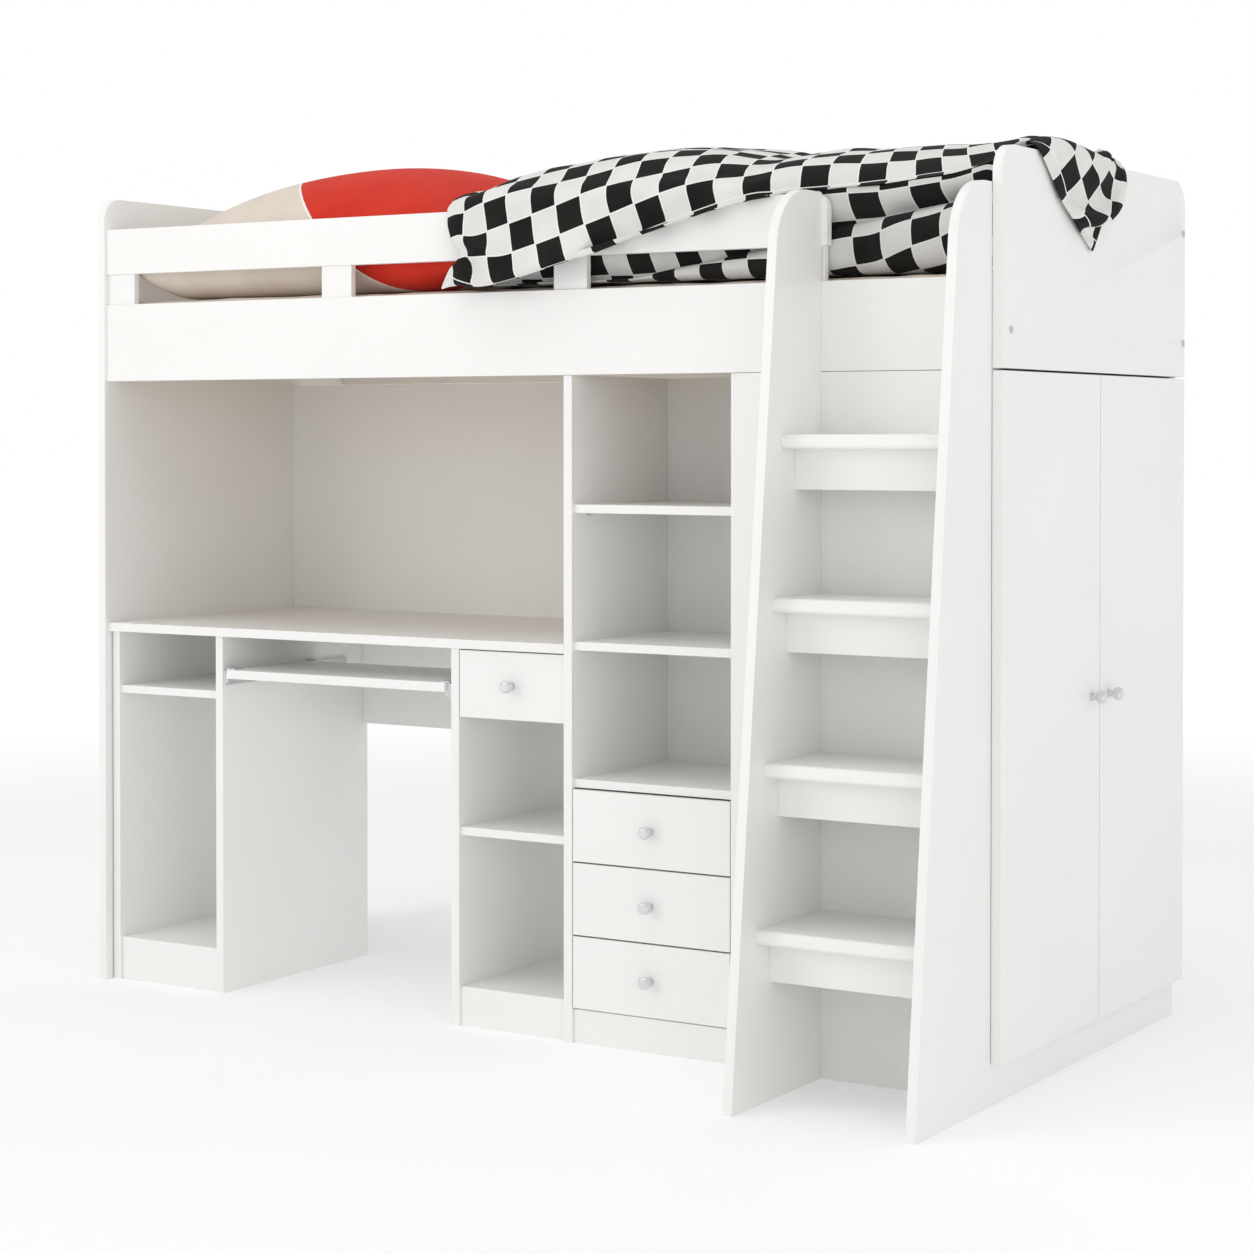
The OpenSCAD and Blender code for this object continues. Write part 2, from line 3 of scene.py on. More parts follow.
import bpy
import numpy as np
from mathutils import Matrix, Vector


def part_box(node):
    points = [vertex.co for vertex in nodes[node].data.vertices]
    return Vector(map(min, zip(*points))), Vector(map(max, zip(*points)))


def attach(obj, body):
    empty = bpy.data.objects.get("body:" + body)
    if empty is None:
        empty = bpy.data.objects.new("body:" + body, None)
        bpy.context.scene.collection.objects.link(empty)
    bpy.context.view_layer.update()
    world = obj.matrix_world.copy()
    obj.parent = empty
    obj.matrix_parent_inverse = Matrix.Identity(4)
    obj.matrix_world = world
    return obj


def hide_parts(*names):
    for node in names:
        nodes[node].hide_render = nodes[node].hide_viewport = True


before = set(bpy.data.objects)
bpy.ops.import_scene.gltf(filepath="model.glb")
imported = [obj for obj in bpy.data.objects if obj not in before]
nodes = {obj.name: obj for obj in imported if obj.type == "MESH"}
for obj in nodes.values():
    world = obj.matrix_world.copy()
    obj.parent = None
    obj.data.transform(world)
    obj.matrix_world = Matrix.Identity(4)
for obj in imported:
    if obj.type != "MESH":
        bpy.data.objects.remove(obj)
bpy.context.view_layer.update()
MM = 0.001


def node_box(name):
    """Lowest and highest corners of a CAD node at rest, as numpy arrays."""
    low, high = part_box(name)
    return np.array(low), np.array(high)


# the bed's front left corner on the floor, which the camera and the bedding are placed from
LEFT_END = node_box("left_end_panel")[0]
CORNER = np.array([LEFT_END[0], LEFT_END[1], 0.0])

# ---------------------------------------------------------------- camera, floor and light
# the camera that took the photo, as its straight edges give it: a place from the corner, a turn to the left,
# a tilt down, a lens in millimetres and an upright shift
CAMERA_FROM_CORNER = Vector((3.9024, -4.2184, 1.1297))
CAMERA_YAW = math.radians(31.77)
CAMERA_DOWN = math.radians(1.0)
CAMERA_LENS = 78.08
CAMERA_SENSOR = 36
CAMERA_SHIFT = -0.1148

# how strongly the white sky lights the object, and how bright the camera sees it
SKY = 0.69
BACKDROP = 1.0
# each soft light: its place, what it points at, its two sides, its power and its colour
LIGHTS = {
    "key": ((-3.4, -5.4, 3.1), (0, 0, 0.9), (3.4, 3.0), 61, (1, 0.985, 0.96)),
    "fill": ((5.0, -4.4, 1.5), (0, 0, 0.8), (3.0, 2.4), 34, (1, 0.99, 0.975)),
    "rim": ((4.2, 2.6, 3.6), (1, 0, 1.4), (1.5, 1.5), 12, (0.96, 0.98, 1)),
    "top": ((0, -1.2, 6.0), (0, -0.5, 0), (4.0, 4.0), 58, (1, 1, 1)),
}

FLOOR_HALF = 60.0
# the floor glows a little near the object, so that shadows stay faint, and more beyond it, so that
# it meets the backdrop without a horizon
GLOW_NEAR_AND_FAR = (0.24, 0.47)
GLOW_REACH = (2.5, 7.0)


def set_camera():
    data = bpy.data.cameras.new("camera")
    data.lens = CAMERA_LENS
    data.sensor_width = CAMERA_SENSOR
    data.shift_y = CAMERA_SHIFT
    camera = bpy.data.objects.new("camera", data)
    bpy.context.collection.objects.link(camera)
    camera.location = Vector(CORNER) + CAMERA_FROM_CORNER
    camera.rotation_euler = (math.radians(90) - CAMERA_DOWN, 0, CAMERA_YAW)
    bpy.context.scene.camera = camera


def area_light(name, place, target, size, power, colour):
    data = bpy.data.lights.new(name, "AREA")
    data.shape = "RECTANGLE"
    data.size, data.size_y = size
    data.energy = power
    data.color = colour
    light = bpy.data.objects.new(name, data)
    bpy.context.collection.objects.link(light)
    light.location = place
    light.rotation_euler = (Vector(target) - Vector(place)).to_track_quat("-Z", "Y").to_euler()


def set_light():
    world = bpy.data.worlds.new("studio")
    bpy.context.scene.world = world
    world.use_nodes = True
    background = world.node_tree.nodes["Background"]
    background.inputs["Color"].default_value = (1.0, 1.0, 1.0, 1)
    seen = world.node_tree.nodes.new("ShaderNodeLightPath").outputs["Is Camera Ray"]
    strength = world.node_tree.nodes.new("ShaderNodeMapRange")
    strength.inputs["To Min"].default_value = SKY
    strength.inputs["To Max"].default_value = BACKDROP
    world.node_tree.links.new(seen, strength.inputs["Value"])
    world.node_tree.links.new(strength.outputs["Result"], background.inputs["Strength"])
    for name, settings in LIGHTS.items():
        area_light(name, *settings)


def set_floor():
    mesh = bpy.data.meshes.new("studio_floor")
    sides = (-FLOOR_HALF, FLOOR_HALF)
    corners = [(x, y, 0) for y in sides for x in sides]
    mesh.from_pydata(corners, [], [(0, 1, 3, 2)])
    floor = bpy.data.objects.new("studio_floor", mesh)
    bpy.context.collection.objects.link(floor)
    mesh.materials.append(floor_material())


# ---------------------------------------------------------------- materials
def colour(red, green, blue, share=1.0):
    """A solid colour, with its brightness scaled by share."""
    return (red * share, green * share, blue * share, 1)


class Nodes:
    """Short calls for building one node material."""

    def __init__(self, name):
        self.material = bpy.data.materials.new(name)
        self.material.use_nodes = True
        self.tree = self.material.node_tree
        self.shader = self.tree.nodes["Principled BSDF"]
        self.position = self.add("ShaderNodeNewGeometry").outputs["Position"]

    def add(self, kind, **settings):
        node = self.tree.nodes.new(kind)
        for key, value in settings.items():
            setattr(node, key, value)
        return node

    def link(self, output, socket):
        self.tree.links.new(output, socket)

    def feed(self, socket, value):
        if isinstance(value, bpy.types.NodeSocket):
            self.link(value, socket)
        else:
            socket.default_value = value

    def math(self, operation, first, second=0.0):
        node = self.add("ShaderNodeMath", operation=operation)
        self.feed(node.inputs[0], first)
        self.feed(node.inputs[1], second)
        return node.outputs[0]

    def noise(self, scale, detail=3.0, rough=0.5, at=None):
        node = self.add("ShaderNodeTexNoise")
        node.inputs["Scale"].default_value = scale
        node.inputs["Detail"].default_value = detail
        node.inputs["Roughness"].default_value = rough
        self.link(self.position if at is None else at, node.inputs["Vector"])
        return node.outputs["Fac"]

    def ramp(self, value, low, high, to_low=0.0, to_high=1.0, curve="LINEAR"):
        node = self.add("ShaderNodeMapRange", interpolation_type=curve)
        node.inputs["From Min"].default_value = low
        node.inputs["From Max"].default_value = high
        node.inputs["To Min"].default_value = to_low
        node.inputs["To Max"].default_value = to_high
        self.feed(node.inputs["Value"], value)
        return node.outputs["Result"]

    def cloud(self, scale, detail=3.0, rough=0.5):
        """Soft patches between 0 and 1."""
        return self.ramp(self.noise(scale, detail, rough), 0.3, 0.7)

    def mix(self, factor, first, second):
        node = self.add("ShaderNodeMix", data_type="RGBA")
        self.feed(node.inputs[0], factor)
        self.feed(node.inputs[6], first)
        self.feed(node.inputs[7], second)
        return node.outputs[2]

    def stretched(self, scale):
        """The position, stretched by its own scale along each axis."""
        node = self.add("ShaderNodeMapping")
        node.inputs["Scale"].default_value = scale
        self.link(self.position, node.inputs["Vector"])
        return node.outputs["Vector"]

    def distance(self, first, second):
        node = self.add("ShaderNodeVectorMath", operation="DISTANCE")
        self.link(first, node.inputs[0])
        node.inputs[1].default_value = second
        return node.outputs["Value"]

    def flat(self):
        """The cloth's own flat coordinates, in metres."""
        return self.add("ShaderNodeUVMap", uv_map="flat").outputs["UV"]

    def bump(self, height, strength, distance, below=None):
        node = self.add("ShaderNodeBump")
        node.inputs["Strength"].default_value = strength
        node.inputs["Distance"].default_value = distance
        self.link(height, node.inputs["Height"])
        if below is not None:
            self.link(below, node.inputs["Normal"])
        return node.outputs["Normal"]

    def cotton(self):
        """The bump of a fine plain weave with soft unevenness over it."""
        weave = self.bump(self.noise(1100, 2, 0.6), 0.22, 0.00018)
        return self.bump(self.noise(60, 3, 0.6), 0.12, 0.0012, weave)

    def finish(self, tint, roughness, normal, **constants):
        self.feed(self.shader.inputs["Base Color"], tint)
        self.feed(self.shader.inputs["Roughness"], roughness)
        self.link(normal, self.shader.inputs["Normal"])
        for name, value in constants.items():
            self.shader.inputs[name.replace("_", " ")].default_value = value
        return self.material


def floor_material():
    """Pale studio paper that glows, so that its shadows stay faint and it meets the backdrop."""
    n = Nodes("floor_paper")
    tint = n.mix(n.cloud(0.8, 4), colour(0.79, 0.79, 0.79), colour(0.81, 0.81, 0.81))
    grain = n.bump(n.noise(900, 2), 0.05, 0.0002)
    away = n.distance(n.position, (0, 0, 0))
    glow = n.ramp(away, *GLOW_REACH, *GLOW_NEAR_AND_FAR, curve="SMOOTHSTEP")
    n.link(glow, n.shader.inputs["Emission Strength"])
    return n.finish(tint, 0.9, grain, Specular_IOR_Level=0.1, Emission_Color=colour(1, 1, 1))


def board_material():
    """White melamine on chipboard: a faint cloud in the white and the fine pebble of the press plate."""
    n = Nodes("white_melamine")
    tint = n.mix(n.cloud(2.6, 4, 0.55), colour(0.882, 0.876, 0.862), colour(0.91, 0.905, 0.892))
    speck = n.ramp(n.noise(420, 3, 0.6), 0.35, 0.75)
    tint = n.mix(n.math("MULTIPLY", speck, 0.25), tint, colour(0.93, 0.925, 0.912))
    pebble = n.bump(n.noise(1400, 3, 0.6), 0.10, 0.00012)
    wave = n.bump(n.noise(14, 2), 0.05, 0.0008, pebble)
    rough = n.ramp(n.noise(30, 4, 0.6), 0.3, 0.7, 0.36, 0.44)
    return n.finish(tint, rough, wave, Specular_IOR_Level=0.42)


def metal_material(name, shade, roughness, scratch_scale):
    """Metal of one grey shade, faintly brushed."""
    n = Nodes(name)
    brushed = n.noise(6, 4, 0.65, n.stretched((scratch_scale, 60, 60)))
    tint = n.mix(n.ramp(brushed, 0.3, 0.7), colour(*shade), colour(*shade, 1.08))
    rough = n.ramp(brushed, 0.3, 0.7, roughness - 0.05, roughness + 0.07)
    return n.finish(tint, rough, n.bump(brushed, 0.06, 0.0001), Metallic=1.0)


def pine_material():
    """Planed pine with its grain along the slats."""
    n = Nodes("planed_pine")
    grain = n.noise(1.0, 6, 0.6, n.stretched((90, 3, 90)))
    tint = n.mix(n.ramp(grain, 0.35, 0.65), colour(0.62, 0.42, 0.22), colour(0.78, 0.6, 0.38))
    return n.finish(tint, n.ramp(grain, 0.3, 0.7, 0.55, 0.68), n.bump(grain, 0.2, 0.0004))


# the duvet's squares, the plain flange round it, and half the width of the lines between squares, as a share
CHECK = 0.052
FLANGE = 0.026
LINE_HALF = 0.022
# squares are counted from far outside the cloth, so that no count is negative
COUNT_FROM = 400
# the piping runs in a circle round this place of the pillow's flat case
PIPING_CENTRE = (0.99, 0.61, 0)
PIPING_RADIUS = 0.782
PIPING_HALF = 0.0022


def checks_material(name, painted_shade_share):
    """Black and white squares with thin white lines between them, which follow the flat cloth. A share below
    1 darkens the pale squares and lines as painted shade.
    """
    n = Nodes(name)
    split = n.add("ShaderNodeSeparateXYZ")
    n.link(n.flat(), split.inputs[0])
    u, v = split.outputs[0], split.outputs[1]
    in_flange = n.math("LESS_THAN", v, FLANGE)
    u = n.math("SUBTRACT", u, n.math("MULTIPLY", in_flange, 0.004))
    u_cell = n.math("DIVIDE", u, CHECK)
    v_cell = n.math("DIVIDE", n.math("SUBTRACT", v, FLANGE), CHECK)
    column = n.math("FLOOR", u_cell)
    row = n.math("ADD", n.math("FLOOR", n.math("MAXIMUM", v_cell, 0.0)), COUNT_FROM + 1)
    is_white = n.math("MODULO", n.math("ADD", column, row), 2.0)
    lines = []
    for cell in (u_cell, v_cell):
        part = n.math("FRACT", n.math("ADD", cell, COUNT_FROM + 0.5))
        off = n.math("ABSOLUTE", n.math("SUBTRACT", part, 0.5))
        lines.append(n.math("LESS_THAN", off, LINE_HALF))
    cloud = n.cloud(14)
    # a share below 1 scales the pale colours down: painted shade
    pale = n.mix(cloud, colour(0.72, 0.71, 0.69, painted_shade_share), colour(0.79, 0.78, 0.76, painted_shade_share))
    dark = n.mix(cloud, colour(0.010, 0.009, 0.008), colour(0.018, 0.016, 0.014))
    tint = n.mix(is_white, dark, pale)
    tint = n.mix(n.math("MAXIMUM", *lines), tint, colour(0.85, 0.85, 0.84, painted_shade_share))
    return n.finish(tint, 0.85, n.cotton(), Sheen_Weight=0.03, Specular_IOR_Level=0.12)


def pillow_material():
    """Beige and red cotton, parted by a white piping."""
    n = Nodes("two_colour_cotton")
    distance = n.distance(n.flat(), PIPING_CENTRE)
    is_red = n.math("LESS_THAN", distance, PIPING_RADIUS)
    off = n.math("ABSOLUTE", n.math("SUBTRACT", distance, PIPING_RADIUS))
    piping = n.math("LESS_THAN", off, PIPING_HALF)
    cloud = n.cloud(11)
    beige = n.mix(cloud, colour(0.70, 0.62, 0.53), colour(0.76, 0.68, 0.59))
    red = n.mix(cloud, colour(0.62, 0.030, 0.014), colour(0.68, 0.040, 0.019))
    tint = n.mix(piping, n.mix(is_red, beige, red), colour(0.86, 0.85, 0.83))
    return n.finish(tint, 0.82, n.cotton(), Sheen_Weight=0.05, Specular_IOR_Level=0.15)


def sheet_material():
    """The beige sheet over the mattress."""
    n = Nodes("beige_sheet")
    tint = n.mix(n.cloud(9), colour(0.66, 0.56, 0.48), colour(0.72, 0.63, 0.55))
    return n.finish(tint, 0.85, n.cotton(), Sheen_Weight=0.04, Specular_IOR_Level=0.12)


# ---------------------------------------------------------------- boards and fittings
SOFT_NODES = ("mattress", "pillow", "duvet")
ZINC_NODES = (
    "tray_slides",
    "slide_runners",
    "hinge_arms",
    "front_hinge_cups",
    "rear_hinge_cups",
    "shelf_pins",
    "rail_bolts",
)
EDGE_ROUND = 0.8 * MM
# corners sharper than this are rounded; faces flatter than the other are joined first
EDGE_ANGLE = math.radians(40)
FLAT_ANGLE = math.radians(1)
WELD_GAP = 0.01 * MM


def soften_edges(piece):
    """Rounds the cut edges a little, so that they catch the light."""
    weld = piece.modifiers.new("weld", "WELD")
    weld.merge_threshold = WELD_GAP
    flat = piece.modifiers.new("flat", "DECIMATE")
    flat.decimate_type = "DISSOLVE"
    flat.angle_limit = FLAT_ANGLE
    bevel = piece.modifiers.new("edge", "BEVEL")
    bevel.width = EDGE_ROUND
    bevel.segments = 2
    bevel.limit_method = "ANGLE"
    bevel.angle_limit = EDGE_ANGLE
    bevel.harden_normals = True


def finish_boards():
    """Gives every hard CAD node its finish, and rounds the edges of the wooden ones."""
    white = board_material()
    zinc = metal_material("zinc_steel", (0.62, 0.63, 0.64), 0.38, 8)
    tube = metal_material("rail_tube", (0.74, 0.74, 0.75), 0.22, 8)
    knob = metal_material("knob_metal", (0.70, 0.70, 0.71), 0.34, 30)
    pine = pine_material()
    finishes = {name: zinc for name in ZINC_NODES}
    finishes["clothes_rail"] = tube
    finishes["bed_slats"] = pine
    for name, node in nodes.items():
        if name in SOFT_NODES:
            continue
        finish = knob if name.endswith("_knob") else finishes.get(name, white)
        node.data.materials.clear()
        node.data.materials.append(finish)
        if finish is white or finish is pine:
            soften_edges(node)


# ---------------------------------------------------------------- cloth on a grid
# the bedding is made in "bed metres", counted from the bed's front left corner
def bed_box(name):
    low, high = node_box(name)
    return low - CORNER, high - CORNER


RAIL = bed_box("front_guard_rail")
END = bed_box("right_end_panel")
REAR_RAIL = bed_box("rear_guard_rail")
MATTRESS = bed_box("mattress")
LADDER = bed_box("ladder_left_side")
RAIL_TOP = RAIL[1][2]
RAIL_INSIDE = RAIL[1][1]
MATTRESS_TOP = MATTRESS[1][2]


class Cloth:
    """A woven sheet as a grid of points that keep their flat distances, moved in small steps."""

    # which neighbour each kind of link goes to, down and across the grid, and how stiff it is
    LINKS = ((0, 1, 1.0), (1, 0, 1.0), (1, 1, 0.5), (1, -1, 0.5), (0, 2, 0.25), (2, 0, 0.25))
    ROUNDS = 2

    def __init__(self, place, flat, loose):
        self.place = place.copy()
        self.before = place.copy()
        self.links = []
        rows, columns = place.shape[:2]
        for down, across, stiffness in self.LINKS:
            # each pass takes links that share no point, so that they can all be moved at once
            stride = 2 * max(down, across)
            back, on = max(0, -across), max(0, across)
            for start in range(stride):
                if down:
                    first = (slice(start, rows - down, stride), slice(back, columns - on))
                    second = (slice(start + down, rows, stride), slice(on, columns - back))
                else:
                    first = (slice(None), slice(start, columns - across, stride))
                    second = (slice(None), slice(start + across, columns, stride))
                slack = (loose[first] + loose[second]) / 2
                rest = np.linalg.norm(flat[second] - flat[first], axis=2) * slack
                self.links.append((first, second, rest, stiffness))

    def keep_lengths(self):
        for first, second, rest, stiffness in self.links:
            gap = self.place[second] - self.place[first]
            length = np.sqrt((gap * gap).sum(2)) + 1e-9
            share = (0.5 * stiffness * (length - rest) / length)[..., None] * gap
            self.place[first] += share
            self.place[second] -= share

    def normals(self):
        along = np.gradient(self.place, axis=1)
        up = np.gradient(self.place, axis=0)
        normal = np.cross(along, up)
        return normal / (np.linalg.norm(normal, axis=2, keepdims=True) + 1e-12)

    def step(self, fall, kept_speed, contacts):
        moved = (self.place - self.before) * kept_speed
        self.before = self.place.copy()
        self.place += moved
        self.place[..., 2] -= fall
        for _ in range(self.ROUNDS):
            self.keep_lengths()
            for contact in contacts:
                contact(self)


def push_out(cloth, mask, push, grip):
    """Moves the masked points by push, and lets friction hold back their slide."""
    slide = cloth.place[mask] - cloth.before[mask]
    size = np.linalg.norm(push, axis=1, keepdims=True) + 1e-12
    way = push / size
    slide -= (slide * way).sum(1, keepdims=True) * way
    cloth.place[mask] += push - grip * slide


def box_contact(low, high, radius, grip):
    """Keeps every point its own radius away from a box."""
    centre, half = (low + high) / 2, (high - low) / 2

    def contact(cloth):
        offset = cloth.place - centre
        beyond = np.abs(offset) - half
        near = (beyond < radius[..., None]).all(2)
        if not near.any():
            return
        offset, beyond, wanted = offset[near], beyond[near], radius[near]
        outside = np.maximum(beyond, 0)
        distance = np.linalg.norm(outside, axis=1)
        within = distance < 1e-9
        outside[within, beyond[within].argmax(1)] = 1e-6
        depth = np.where(within, beyond.max(1), distance)
        way = np.sign(offset) * outside / np.linalg.norm(outside, axis=1, keepdims=True)
        push = np.maximum(wanted - depth, 0)[:, None] * way
        push_out(cloth, near, push, grip)

    return contact


def surface_contact(height, low, high, radius, grip):
    """Keeps every point between two corners of a plan its own radius above a height function of x and y."""
    reach = 1e-3

    def contact(cloth):
        x, y, z = np.moveaxis(cloth.place, 2, 0)
        over = (x > low[0]) & (x < high[0]) & (y > low[1]) & (y < high[1])
        level = height(x, y)
        slope_x = (height(x + reach, y) - level) / reach
        slope_y = (height(x, y + reach) - level) / reach
        normal = np.stack([-slope_x, -slope_y, np.ones_like(level)], 2)
        normal /= np.linalg.norm(normal, axis=2, keepdims=True)
        depth = (level - z) * normal[..., 2] + radius
        inside = over & (depth > 0)
        push_out(cloth, inside, depth[inside][:, None] * normal[inside], grip)

    return contact


def smooth_step(value, low, high):
    """Rises smoothly from 0 at low to 1 at high, and falls when high is the smaller."""
    share = np.clip((value - low) / (high - low), 0, 1)
    return share * share * (3 - 2 * share)


def lumps(x, y, seed, wave):
    """Smooth random unevenness between about -1 and 1, from a few seeded waves."""
    random = np.random.default_rng(seed)
    total = np.zeros_like(x)
    for _ in range(7):
        angle, phase = random.uniform(0, 2 * math.pi, 2)
        length = wave * random.uniform(0.7, 1.6)
        total += np.sin(2 * math.pi * (x * math.cos(angle) + y * math.sin(angle)) / length + phase)
    return total / 4


def along(path, distance):
    """Points at given distances along a path of places."""
    places = np.array(path)
    at = np.concatenate([[0], np.cumsum(np.linalg.norm(np.diff(places, axis=0), axis=1))])
    return np.stack([np.interp(distance, at, places[:, k]) for k in range(3)], -1)


def path_length(path):
    return np.linalg.norm(np.diff(np.array(path), axis=0), axis=1).sum()


# ---------------------------------------------------------------- meshes from grids
def cover(name, points, faces, flat=None):
    """A smooth piece from points in bed metres, with its flat coordinates kept as the map "flat"."""
    mesh = bpy.data.meshes.new(name)
    mesh.from_pydata((points + CORNER).tolist(), [], faces)
    if flat is not None:
        layer = mesh.uv_layers.new(name="flat")
        corner_vertex = np.empty(len(mesh.loops), dtype=np.int32)
        mesh.loops.foreach_get("vertex_index", corner_vertex)
        layer.data.foreach_set("uv", flat[corner_vertex].astype(np.float32).ravel())
    mesh.polygons.foreach_set("use_smooth", [True] * len(mesh.polygons))
    piece = bpy.data.objects.new(name, mesh)
    bpy.context.collection.objects.link(piece)
    smooth = piece.modifiers.new("smooth", "SUBSURF")
    smooth.levels = smooth.render_levels = 1
    return piece


def two_sided(name, front, back, front_flat, back_flat):
    """A closed piece from two grids of points of one size, joined round their rims."""
    rows, columns = front.shape[:2]
    count = rows * columns
    index = np.arange(count).reshape(rows, columns)
    quads = np.stack([index[:-1, :-1], index[:-1, 1:], index[1:, 1:], index[1:, :-1]], 2).reshape(-1, 4)
    rim = np.concatenate([index[0, :-1], index[:-1, -1], index[-1, :0:-1], index[:0:-1, 0]])
    after = np.roll(rim, -1)
    joining = np.stack([after, rim, rim + count, after + count], 1)
    faces = np.concatenate([quads, quads[:, ::-1] + count, joining])
    points = np.concatenate([front.reshape(-1, 3), back.reshape(-1, 3)])
    flat = np.concatenate([front_flat.reshape(-1, 2), back_flat.reshape(-1, 2)])
    return cover(name, points, faces.tolist(), flat)


def ringed(name, place, flat):
    """A closed piece from rings of points: each ring is joined end to end, and the two ends are capped."""
    rings, around = place.shape[:2]
    index = np.arange(rings * around).reshape(rings, around)
    after = np.roll(index, -1, axis=1)
    quads = np.stack([index[:-1], after[:-1], after[1:], index[1:]], 2).reshape(-1, 4)
    faces = quads.tolist() + [index[0][::-1].tolist(), index[-1].tolist()]
    return cover(name, place.reshape(-1, 3), faces, flat.reshape(-1, 2))


# ---------------------------------------------------------------- duvet
# full thickness of the padding under the upper cloth, and how far from the flange it takes to reach it
PADDING = 0.042
PADDING_RUN = 0.15
BARE_CLOTH = 0.002
# the underside stands off by nearly the whole padding
UNDERSIDE = 0.96
# the front hem's start and turn on the bed, in plan
HEM_TURN = math.radians(12.2)
HEM_START = (0.877, -0.155)
# where the front hem runs, from the low tip on the left to the corner that hangs on the right
HEM_PATH = (
    (0.879, -0.011, 1.406),
    (1.028, -0.035, 1.426),
    (1.274, -0.045, 1.482),
    (1.476, -0.030, 1.531),
    (1.620, 0.002, 1.562),
    (1.664, 0.020, 1.565),
    (1.780, 0.045, 1.569),
    (1.905, 0.072, 1.583),
    (1.975, 0.088, 1.602),
    (2.012, 0.100, 1.634),
    (2.031, 0.106, 1.638),
    (2.046, 0.120, 1.618),
    (2.048, 0.220, 1.532),
    (2.046, 0.362, 1.456),
)
# the right hem, from the hanging corner back over the end panel
SIDE_PATH = (
    (2.046, 0.362, 1.456),
    (2.050, 0.428, 1.545),
    (2.049, 0.480, 1.615),
    (2.031, 0.494, 1.641),
    (2.008, 0.510, 1.636),
    (1.996, 0.540, 1.590),
    (1.992, 0.600, 1.520),
    (1.988, 0.720, 1.490),
    (1.985, 0.800, 1.475),
)
# the left hem, from the low tip up over the guard rail, with a pinch half way
LEFT_PATH = (
    (0.879, -0.011, 1.406),
    (0.903, -0.020, 1.440),
    (0.940, -0.030, 1.470),
    (0.924, -0.036, 1.490),
    (0.906, -0.026, 1.525),
    (0.886, 0.002, 1.562),
    (0.880, 0.040, 1.586),
    (0.884, 0.090, 1.596),
    (0.905, 0.220, 1.597),
    (0.950, 0.430, 1.570),
    (1.000, 0.640, 1.520),
    (1.030, 0.790, 1.475),
)
# how far up the left hem it hangs, and which way its flange lies below and above that
LEFT_HANGS = 0.20
LEFT_FLANGE = np.array([0.93, -0.30, 0.21])
TOP_FLANGE = np.array([0.94, 0.05, 0.30])
# the corner that hangs outside the end panel: its two hems as directions up from the tip, and the height at
# which it folds over the panel's top
FLAP_HEM = np.array([-0.84, 0.54])
FLAP_SIDE = np.array([0.605, 0.797])
FLAP_FOLD = 1.640
# the corner is pressed this much thinner than the rest
FLAP_THINNING = 0.6
# past this the side is tucked down between the filling and the end panel
TUCK = 1.980
# the cloth is gathered so far round this point of the front hem, where it goes over the end panel
CORNER_PIVOT = 1.19
CORNER_TURN = math.radians(20)
DUVET_WIDTH = path_length(HEM_PATH)
# the grid's depth before its rear is let out to the line where the duvet ends
DUVET_DEPTH = 1.20
REAR_LINE = 0.93
# where the rear hem lies between the mattress and the rear rail
REAR_HEM = (0.806, 1.47)
# how fast the cloth falls in each step, and which share of its speed it keeps while it moves and
# while it settles
DUVET_FALL = 0.00045
MOVING, SETTLING = 0.985, 0.9
CLOTH_GRIP = 0.25


def filling_top(x, y):
    """Height of the filling under the duvet's upper cloth."""
    crown = 1.633 + 0.026 * np.exp(-(((x - 1.26) / 0.22) ** 2)) + 0.010 * smooth_step(x, 1.86, 1.98)
    crown -= 0.012 * np.exp(-(((x - 1.52) / 0.05) ** 2))
    crown -= 0.055 * np.exp(-(np.maximum(x - 0.86, 0) / 0.08))
    front = 1.588 + 0.006 * smooth_step(x, 1.60, 1.95)
    behind_hem = y - 0.22 * np.maximum(x - 1.60, 0)
    rise = 1 - np.exp(-(np.maximum(behind_hem - 0.010, 0) / 0.050) ** 1.2)
    level = front + (crown - front) * rise + 0.020 * smooth_step(y, 0.10, 0.32)
    level -= 0.105 * smooth_step(y, 0.42, 0.80)
    level -= 0.13 * smooth_step(-x, -0.875, -0.80)
    uneven = 0.0035 * lumps(x, y, 5, 0.21) + 0.0018 * lumps(x, y, 6, 0.08)
    level += uneven * smooth_step(y, 0.02, 0.12)
    return level - PADDING


def duvet_pattern(spacing):
    """The flat cloth as a grid: u runs along the front hem, v back from it, and edge is the way to a hem."""
    columns = round(DUVET_WIDTH / spacing) + 1
    rows = round(DUVET_DEPTH / spacing) + 1
    share = np.linspace(0, 1, columns)[None, :]
    depth = np.linspace(0, DUVET_DEPTH, rows)[:, None]
    lift = HEM_START[1] + DUVET_WIDTH * share * math.sin(HEM_TURN)
    reach = (REAR_LINE - lift) / math.cos(HEM_TURN)
    full = smooth_step(DUVET_DEPTH, 0.30, 1.5 * DUVET_DEPTH)
    v = depth + (reach - DUVET_DEPTH) * smooth_step(depth, 0.30, 1.5 * DUVET_DEPTH) / full
    left_x = along(LEFT_PATH, v)[..., 0]
    left = (left_x - HEM_START[0] + v * math.sin(HEM_TURN)) / math.cos(HEM_TURN)
    tucked = 1.145 + 0.216 * v + 0.8 * math.sin(CORNER_TURN) * v * smooth_step(v, 0.85, 0.30)
    right = DUVET_WIDTH + (tucked - DUVET_WIDTH) * smooth_step(v, 0.22, 0.46)
    u = left + (right - left) * share
    edge = np.minimum(np.minimum(v, right - u), u - left)
    return u, v, edge


def gathered(u, v):
    """The pattern with its front right corner turned round the pivot, so that it can hang outside."""
    pull = smooth_step(u, 0.80, CORNER_PIVOT) * smooth_step(v, 0.85, 0.30)
    beyond = u - CORNER_PIVOT
    shorter = math.cos(CORNER_TURN) - 1
    cut_u = u + pull * (beyond * shorter - v * math.sin(CORNER_TURN))
    cut_v = v + pull * (np.maximum(beyond, 0) * math.sin(CORNER_TURN) + v * shorter)
    return cut_u, cut_v


